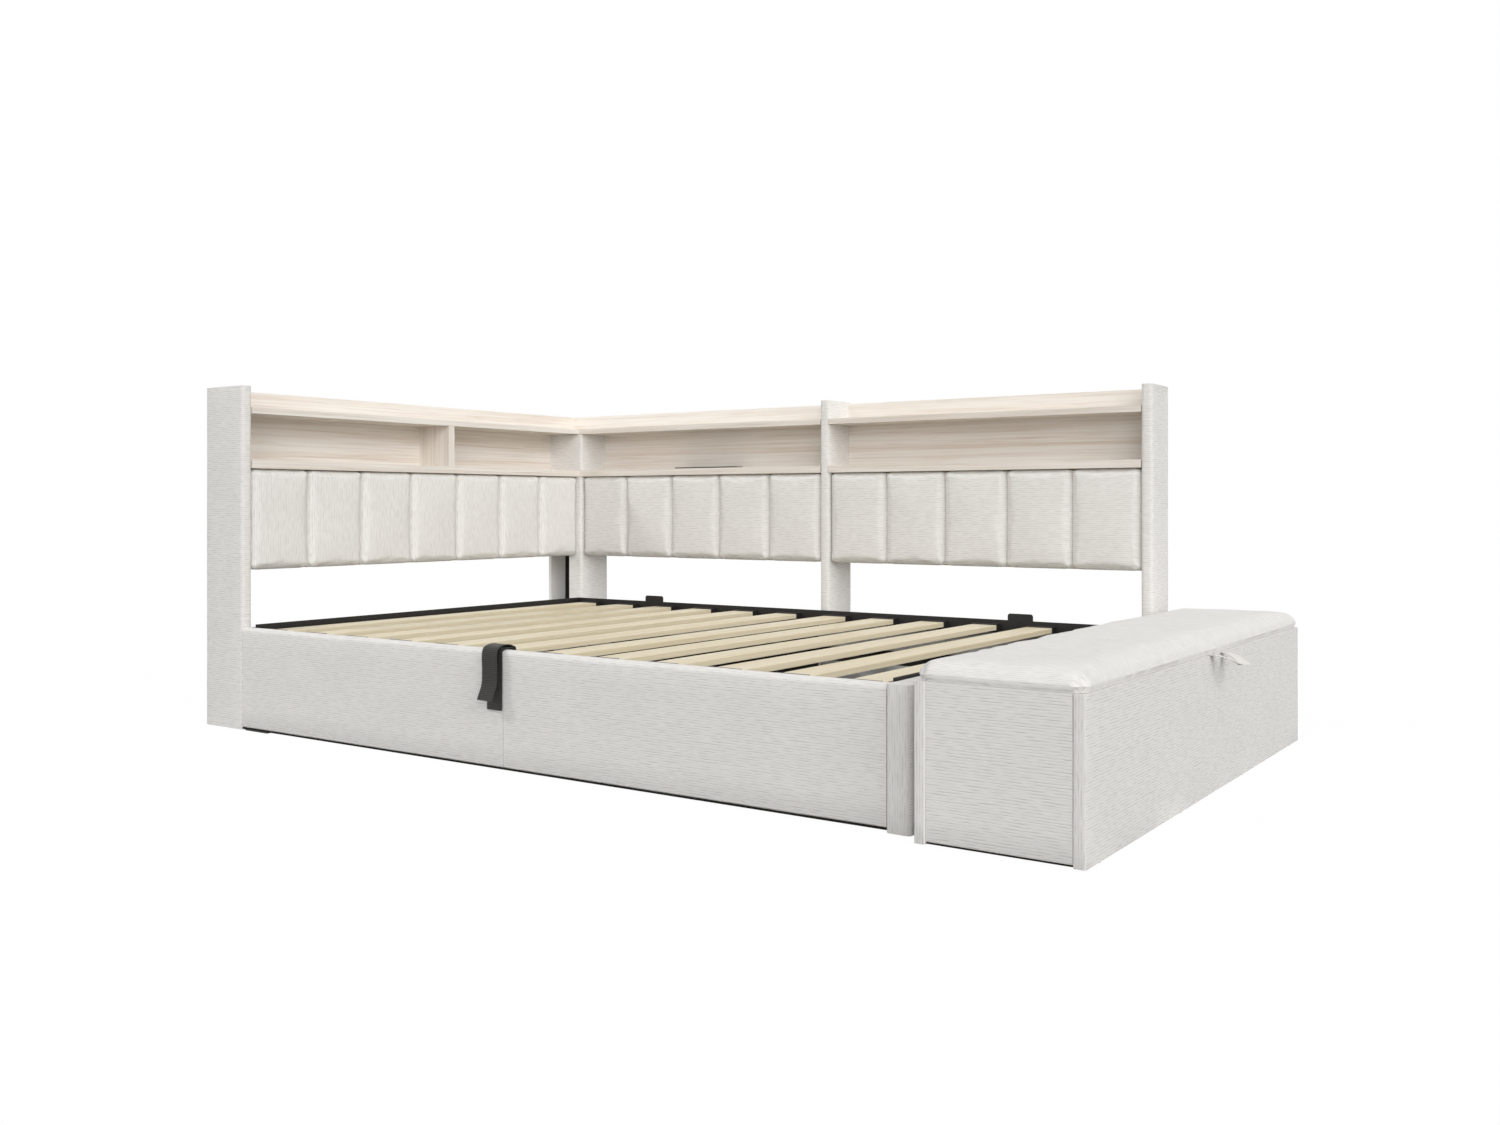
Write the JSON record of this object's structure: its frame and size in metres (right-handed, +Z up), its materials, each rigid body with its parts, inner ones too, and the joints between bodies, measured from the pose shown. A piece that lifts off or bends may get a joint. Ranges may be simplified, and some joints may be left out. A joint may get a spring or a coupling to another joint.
{
  "type": "corner storage bed with bookcases and bench",
  "caption": "L-shaped upholstered storage bed with a lifting slatted platform, channelled back pads under open bookcase shelves, and a separate storage bench with a hinged padded lid.",
  "frame": {"origin": "middle of the footprint of bed and bench together, on the floor", "axes": "+X along the bed from the head bookcase to the bench, +Y from the front rail to the long bookcase, +Z up"},
  "size_m": [2.762, 1.628, 0.99],
  "materials": {
    "upholstery": "ribbed off-white linen-look upholstery",
    "pad_cover": "the same ribbed fabric over foam",
    "whitewashed_wood": "whitewashed wood decor, satin",
    "grey_board": "pale grey coated board",
    "plywood": "plain plywood",
    "black_lining": "black non-woven lining",
    "birch_slat": "bent birch laminate, light varnish",
    "black_steel": "black powder coat",
    "zinc_steel": "zinc plated",
    "rod_chrome": "hard chrome",
    "black_plastic": "moulded, matt",
    "lift_webbing": "dark grey ribbed webbing",
    "pull_webbing": "pale flat ribbon"
  },
  "bodies": {
    "root": {"head_front_panel": "upholstery", "head_rear_panel": "upholstery", "head_corner_leg": "grey_board", "head_shelf": "whitewashed_wood", "head_top_shelf": "whitewashed_wood", "head_back_board": "whitewashed_wood", "head_divider": "whitewashed_wood", "head_pad": "pad_cover", "corner_post": "upholstery", "corner_block": "upholstery", "mid_panel": "upholstery", "end_panel": "upholstery", "mid_shelf": "whitewashed_wood", "mid_top_shelf": "whitewashed_wood", "mid_back_board": "whitewashed_wood", "mid_pad": "pad_cover", "right_shelf": "whitewashed_wood", "right_top_shelf": "whitewashed_wood", "right_back_board": "whitewashed_wood", "right_pad": "pad_cover", "pad_boards": "black_lining", "power_unit": "black_plastic", "dust_linings": "black_lining", "front_rail_head_half": "upholstery", "front_rail_foot_half": "upholstery", "foot_rail": "upholstery", "head_rail": "upholstery", "rear_rails": "upholstery", "storage_divider": "plywood", "storage_floor": "plywood", "rail_cleats": "plywood", "bed_feet": "black_plastic", "rail_brackets": "zinc_steel", "lift_hinge_bases": "zinc_steel", "strut_lower_brackets": "black_steel"},
    "platform": {"frame_front_bar": "black_steel", "frame_rear_bar": "black_steel", "frame_end_bars": "black_steel", "frame_beams": "black_steel", "slats": "birch_slat", "slat_caps": "black_plastic", "mattress_stops": "black_steel", "lift_strap": "lift_webbing", "lift_hinge_leaves": "zinc_steel"},
    "head_cylinder": {"head_strut_cylinder": "black_steel"},
    "head_rod": {"head_strut_rod": "rod_chrome"},
    "foot_cylinder": {"foot_strut_cylinder": "black_steel"},
    "foot_rod": {"foot_strut_rod": "rod_chrome"},
    "bench": {"bench_inner_side": "upholstery", "bench_outer_side": "upholstery", "bench_ends": "upholstery", "bench_floor": "plywood", "bench_glides": "black_plastic", "lid_hinge_bases": "zinc_steel"},
    "lid": {"bench_lid_board": "pad_cover", "bench_lid_pad": "pad_cover", "lid_pull_loop": "pull_webbing", "lid_hinge_leaves": "zinc_steel"}
  },
  "joints": [
    {"name": "platform_lift", "type": "hinge", "parent": "root", "child": "platform", "pos_m": [-0.1505, 0.666, 0.294], "axis": [-1, 0, 0], "range_deg": [0, 35]},
    {"name": "head_strut_swing", "type": "hinge", "parent": "root", "child": "head_cylinder", "pos_m": [-1.185, 0.553, 0.056], "axis": [-1, 0, 0], "range_deg": [0, 19]},
    {"name": "head_strut_extend", "type": "slide", "parent": "head_cylinder", "child": "head_rod", "axis": [0, -0.6591, 0.7521], "range_m": [0, 0.138]},
    {"name": "foot_strut_swing", "type": "hinge", "parent": "root", "child": "foot_cylinder", "pos_m": [0.884, 0.553, 0.056], "axis": [-1, 0, 0], "range_deg": [0, 19]},
    {"name": "foot_strut_extend", "type": "slide", "parent": "foot_cylinder", "child": "foot_rod", "axis": [0, -0.6591, 0.7521], "range_m": [0, 0.138]},
    {"name": "bench_slide", "type": "slide", "parent": "root", "child": "bench", "axis": [1, 0, 0], "range_m": [0, 0.4]},
    {"name": "lid_hinge", "type": "hinge", "parent": "bench", "child": "lid", "pos_m": [0.9852, -0.0175, 0.332], "axis": [0, -1, 0], "range_deg": [0, 75]}
  ],
  "couplings": [
    {"joint": "head_strut_swing", "follows": "platform_lift", "ratio": 0.54},
    {"joint": "head_strut_extend", "follows": "platform_lift", "m_per_rad": 0.224},
    {"joint": "foot_strut_swing", "follows": "platform_lift", "ratio": 0.54},
    {"joint": "foot_strut_extend", "follows": "platform_lift", "m_per_rad": 0.224}
  ]
}
